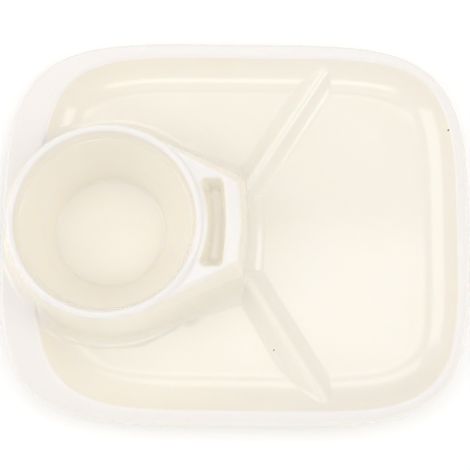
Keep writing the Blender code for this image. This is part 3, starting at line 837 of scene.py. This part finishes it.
def shell_mesh(sizes):
    """The whole moulded shell as one closed mesh with the true surface's own normals."""
    shape = TrayShape(sizes)
    edge, out = outline(shape)
    section = rim_section(shape)
    rings = [np.column_stack((edge - out * inset, np.full(len(edge), height))) for inset, height in section]
    step = np.gradient(section, axis=0)
    step /= np.linalg.norm(step, axis=1)[:, None]
    leans = [np.column_stack((-out * rise, np.full(len(edge), -run))) for run, rise in step]
    points, normals, upper = upper_surface(shape, rings[0][:, :2])
    below, below_normals, lower = lower_surface(shape, points, normals, upper, rings[-1][:, :2])
    count = len(edge)
    vertices = np.concatenate([points] + rings[1:-1] + [below])
    directions = np.concatenate([normals] + leans[1:-1] + [below_normals])
    starts = [0] + [len(points) + count * step for step in range(len(rings) - 1)]
    faces = upper.tolist() + (lower + starts[-1]).tolist()
    for first, second in zip(starts, starts[1:]):
        for index in range(count):
            nearby = (index + 1) % count
            faces.append((first + index, second + index, second + nearby, first + nearby))
    mesh = bpy.data.meshes.new("tray_shell")
    mesh.from_pydata(vertices.tolist(), [], faces)
    mesh.shade_smooth()
    mesh.normals_split_custom_set_from_vertices(directions.tolist())
    return mesh


def node(tree, kind, inputs=(), **settings):
    """A shader node with its settings and unlinked inputs filled in."""
    made = tree.nodes.new(kind)
    for name, value in settings.items():
        setattr(made, name, value)
    for name, value in dict(inputs).items():
        made.inputs[name].default_value = value
    return made


def mixed(tree, share, first, second):
    """A colour between two others; each may be a socket or a colour."""
    mix = node(tree, "ShaderNodeMix", data_type="RGBA")
    for socket, value in ((mix.inputs["Factor"], share), (mix.inputs[6], first), (mix.inputs[7], second)):
        if isinstance(value, bpy.types.NodeSocket):
            tree.links.new(value, socket)
        else:
            socket.default_value = value
    return mix.outputs[2]


def math_node(tree, operation, first, second):
    made = node(tree, "ShaderNodeMath", operation=operation)
    for socket, value in zip(made.inputs, (first, second)):
        if isinstance(value, bpy.types.NodeSocket):
            tree.links.new(value, socket)
        else:
            socket.default_value = value
    return made.outputs[0]


def noise(tree, position, scale, detail=2.0):
    made = node(tree, "ShaderNodeTexNoise", {"Scale": scale, "Detail": detail})
    tree.links.new(position, made.inputs["Vector"])
    return made.outputs[0]


def ranged(tree, value, low, high, to_low=0.0, to_high=1.0):
    """A value carried from one range to another, kept inside it."""
    limits = {"From Min": low, "From Max": high, "To Min": to_low, "To Max": to_high}
    made = node(tree, "ShaderNodeMapRange", limits)
    tree.links.new(value, made.inputs["Value"])
    return made.outputs["Result"]


def unevenness_group():
    """Faint cloudiness and a very fine waviness, for any moulded or painted surface."""
    name = "Faint unevenness"
    if name in bpy.data.node_groups:
        return bpy.data.node_groups[name]
    tree = bpy.data.node_groups.new(name, "ShaderNodeTree")
    tree.interface.new_socket("Position", in_out="INPUT", socket_type="NodeSocketVector")
    cloud_size = tree.interface.new_socket("Cloud scale", in_out="INPUT", socket_type="NodeSocketFloat")
    cloud_size.default_value = 30
    tree.interface.new_socket("Clouds", in_out="OUTPUT", socket_type="NodeSocketFloat")
    tree.interface.new_socket("Waves", in_out="OUTPUT", socket_type="NodeSocketFloat")
    start = node(tree, "NodeGroupInput")
    end = node(tree, "NodeGroupOutput")
    clouds = node(tree, "ShaderNodeTexNoise", {"Detail": 3.0})
    tree.links.new(start.outputs["Position"], clouds.inputs["Vector"])
    tree.links.new(start.outputs["Cloud scale"], clouds.inputs["Scale"])
    waves = noise(tree, start.outputs["Position"], 90.0, 1.0)
    tree.links.new(ranged(tree, clouds.outputs[0], 0.35, 0.65), end.inputs["Clouds"])
    tree.links.new(waves, end.inputs["Waves"])
    return tree


def placed_group(tree, group, position, scale):
    made = node(tree, "ShaderNodeGroup", node_tree=group)
    tree.links.new(position, made.inputs["Position"])
    made.inputs["Cloud scale"].default_value = scale
    return made


def speck_mask(tree, position, x, y, radius):
    """One inside a small round speck on the upper side and zero elsewhere."""
    flattened = node(tree, "ShaderNodeVectorMath", operation="MULTIPLY")
    flattened.inputs[1].default_value = (1, 1, 0)
    tree.links.new(position, flattened.inputs[0])
    distance = node(tree, "ShaderNodeVectorMath", operation="DISTANCE")
    distance.inputs[1].default_value = (x, y, 0)
    tree.links.new(flattened.outputs[0], distance.inputs[0])
    spot = ranged(tree, distance.outputs["Value"], radius * 0.7, radius, 1.0, 0.0)
    facing = node(tree, "ShaderNodeSeparateXYZ")
    tree.links.new(node(tree, "ShaderNodeNewGeometry").outputs["Normal"], facing.inputs[0])
    return math_node(tree, "MULTIPLY", spot, ranged(tree, facing.outputs["Z"], 0, 0.1))


def top_light_and_rub_mask(tree, position, clouds):
    """One on the flat rim and on the tops of the lip and the pod: where these high surfaces get painted top
    light, a paler colour that stands in for the light they catch, and a little rubbed roughness.
    """
    height = node(tree, "ShaderNodeSeparateXYZ")
    tree.links.new(position, height.inputs[0])
    height = height.outputs["Z"]
    rim = ranged(tree, height, *RIM_LIGHT_AND_RUB[:2])
    above_rim = ranged(tree, height, *RIM_LIGHT_AND_RUB[2:], 1.0, 0.0)
    rim = math_node(tree, "MULTIPLY", rim, above_rim)
    tops = ranged(tree, height, *TOPS_LIGHT_AND_RUB)
    top_light_and_rub = math_node(tree, "MAXIMUM", rim, tops)
    return math_node(tree, "MULTIPLY", top_light_and_rub, ranged(tree, clouds, 0, 1, 0.8, 1.0))


def cream_material(finish):
    """Glossy cream melamine: slightly cloudy, with two specks, painted paler on its high edges as painted
    top light, and a little rougher there.
    """
    material = bpy.data.materials.new("cream_melamine")
    material.use_nodes = True
    tree = material.node_tree
    shader = tree.nodes["Principled BSDF"]
    position = node(tree, "ShaderNodeTexCoord").outputs["Object"]
    uneven = placed_group(tree, unevenness_group(), position, 28.0)
    clouds = uneven.outputs["Clouds"]
    top_light_and_rub = top_light_and_rub_mask(tree, position, clouds)
    base = mixed(tree, clouds, (*finish.cream, 1), (*finish.cloudy, 1))
    # Painted top light: the rim's flat and the tops of the lip and pod get the paler cream
    base = mixed(tree, top_light_and_rub, base, (*finish.top_light_and_rub, 1))
    for x, y, radius in SPECKS:
        base = mixed(tree, speck_mask(tree, position, x, y, radius), base, (*finish.dirt, 1))
    tree.links.new(base, shader.inputs["Base Color"])
    fine = noise(tree, position, 900.0, 2.0)
    rough = ranged(tree, fine, 0.3, 0.7, finish.gloss - 0.02, finish.gloss + 0.04)
    rough = math_node(tree, "ADD", rough, ranged(tree, top_light_and_rub, 0, 1, 0, 0.05))
    tree.links.new(rough, shader.inputs["Roughness"])
    bump = node(tree, "ShaderNodeBump", {"Strength": 0.15, "Distance": 0.0002})
    tree.links.new(uneven.outputs["Waves"], bump.inputs["Height"])
    tree.links.new(bump.outputs["Normal"], shader.inputs["Normal"])
    shader.inputs["Subsurface Weight"].default_value = 0.2
    shader.inputs["Subsurface Radius"].default_value = (1.0, 0.6, 0.35)
    shader.inputs["Subsurface Scale"].default_value = 0.002
    shader.inputs["IOR"].default_value = 1.8
    return material


def floor_material(colour_value):
    material = bpy.data.materials.new("studio_floor")
    material.use_nodes = True
    tree = material.node_tree
    shader = tree.nodes["Principled BSDF"]
    position = node(tree, "ShaderNodeTexCoord").outputs["Object"]
    uneven = placed_group(tree, unevenness_group(), position, 2.0)
    darker = tuple(value * 0.985 for value in colour_value)
    base = mixed(tree, uneven.outputs["Clouds"], (*colour_value, 1), (*darker, 1))
    tree.links.new(base, shader.inputs["Base Color"])
    shader.inputs["Emission Color"].default_value = (*colour_value, 1)
    shader.inputs["Emission Strength"].default_value = 0.1
    shader.inputs["Roughness"].default_value = 0.8
    shader.inputs["Specular IOR Level"].default_value = 0.1
    return material


class MEALTRAY_OT_shell(bpy.types.Operator):
    """Build the moulded tray: rim, basin, cup, pod with its slot, and ridges, as one closed shell"""

    bl_idname = "mealtray.shell"
    bl_label = "Build Tray"

    def execute(self, context):
        mesh = shell_mesh(context.scene.tray_sizes)
        mesh.materials.append(cream_material(context.scene.tray_finish))
        tray = bpy.data.objects.new("moulded_tray", mesh)
        context.scene.collection.objects.link(tray)
        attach(tray, "root")
        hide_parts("tray")
        return {"FINISHED"}


def add_lamp(name, centre, target, width, height, power):
    """A rectangular lamp that faces a point."""
    lamp = bpy.data.lights.new(name, "AREA")
    lamp.shape = "RECTANGLE"
    lamp.size, lamp.size_y = width, height
    lamp.energy = power
    holder = bpy.data.objects.new(name, lamp)
    holder.location = centre
    holder.rotation_euler = (Vector(target) - Vector(centre)).to_track_quat("-Z", "Y").to_euler()
    bpy.context.scene.collection.objects.link(holder)


def white_surroundings(strength):
    """White all round, but dimmer at the back and in a patch straight above."""
    world = bpy.data.worlds.new("white_surroundings")
    world.use_nodes = True
    tree = world.node_tree
    direction = node(tree, "ShaderNodeSeparateXYZ")
    tree.links.new(node(tree, "ShaderNodeTexCoord").outputs["Generated"], direction.inputs[0])
    sideways = math_node(tree, "ABSOLUTE", direction.outputs["X"], 0)
    patch = ranged(tree, sideways, *PATCH_SIDES, 1.0, 0.0)
    patch_back = ranged(tree, direction.outputs["Y"], *PATCH_BACK, 1.0, 0.0)
    patch = math_node(tree, "MULTIPLY", patch, patch_back)
    patch = math_node(tree, "MULTIPLY", patch, ranged(tree, direction.outputs["Y"], *PATCH_FRONT))
    patch = math_node(tree, "MULTIPLY", patch, ranged(tree, direction.outputs["Z"], *PATCH_DOWN))
    back = ranged(tree, direction.outputs["Y"], *BACK_FADE)
    white = mixed(tree, back, (1, 1, 1, 1), (BACK_GREY, BACK_GREY, BACK_GREY, 1))
    colour_all_round = mixed(tree, patch, white, (PATCH_GREY, PATCH_GREY, PATCH_GREY, 1))
    background = tree.nodes["Background"]
    tree.links.new(colour_all_round, background.inputs["Color"])
    background.inputs["Strength"].default_value = strength
    return world


class MEALTRAY_OT_studio(bpy.types.Operator):
    """Set up the plain white studio: floor, lamps, surroundings and camera"""

    bl_idname = "mealtray.studio"
    bl_label = "Set Up Studio"

    def execute(self, context):
        look = context.scene.tray_studio
        bpy.ops.mesh.primitive_plane_add(size=FLOOR_SIZE, location=(0, 0, 0))
        floor = context.object
        floor.name = "studio_floor"
        floor.data.materials.append(floor_material(tuple(look.floor)))
        for lamp in LAMPS:
            add_lamp(*lamp)
        context.scene.world = white_surroundings(look.surroundings)
        camera = bpy.data.cameras.new("camera")
        camera.lens = look.camera_lens
        camera.sensor_width = SENSOR_WIDTH
        holder = bpy.data.objects.new("camera", camera)
        tilt = math.pi / 2 - look.camera_elevation
        turn = -look.camera_turn
        back = Vector((math.sin(turn) * math.sin(tilt), -math.cos(turn) * math.sin(tilt), math.cos(tilt)))
        holder.location = Vector(CAMERA_TARGET) + back * look.camera_distance
        holder.rotation_euler = (tilt, 0, turn)
        context.scene.collection.objects.link(holder)
        context.scene.camera = holder
        context.scene.view_settings.view_transform = "Standard"
        return {"FINISHED"}


class MEALTRAY_PT_panel(bpy.types.Panel):
    """The tray's sizes, its finish and the studio, with the buttons that build them"""

    bl_label = "Meal Tray"
    bl_idname = "MEALTRAY_PT_panel"
    bl_space_type = "VIEW_3D"
    bl_region_type = "UI"
    bl_category = "Meal Tray"

    def draw(self, context):
        layout = self.layout
        groups = (
            (context.scene.tray_sizes, "mealtray.shell"),
            (context.scene.tray_finish, None),
            (context.scene.tray_studio, "mealtray.studio"),
        )
        for group, operator in groups:
            box = layout.box()
            for name in group.__annotations__:
                box.prop(group, name)
            if operator:
                box.operator(operator)


CLASSES = (
    TraySizes,
    CreamFinish,
    StudioLook,
    MEALTRAY_OT_shell,
    MEALTRAY_OT_studio,
    MEALTRAY_PT_panel,
)


def register():
    for cls in CLASSES:
        bpy.utils.register_class(cls)
    bpy.types.Scene.tray_sizes = bpy.props.PointerProperty(type=TraySizes)
    bpy.types.Scene.tray_finish = bpy.props.PointerProperty(type=CreamFinish)
    bpy.types.Scene.tray_studio = bpy.props.PointerProperty(type=StudioLook)


def unregister():
    del bpy.types.Scene.tray_studio
    del bpy.types.Scene.tray_finish
    del bpy.types.Scene.tray_sizes
    for cls in reversed(CLASSES):
        bpy.utils.unregister_class(cls)


def main():
    register()
    bpy.ops.mealtray.shell()
    bpy.ops.mealtray.studio()


if __name__ == "__main__":
    main()
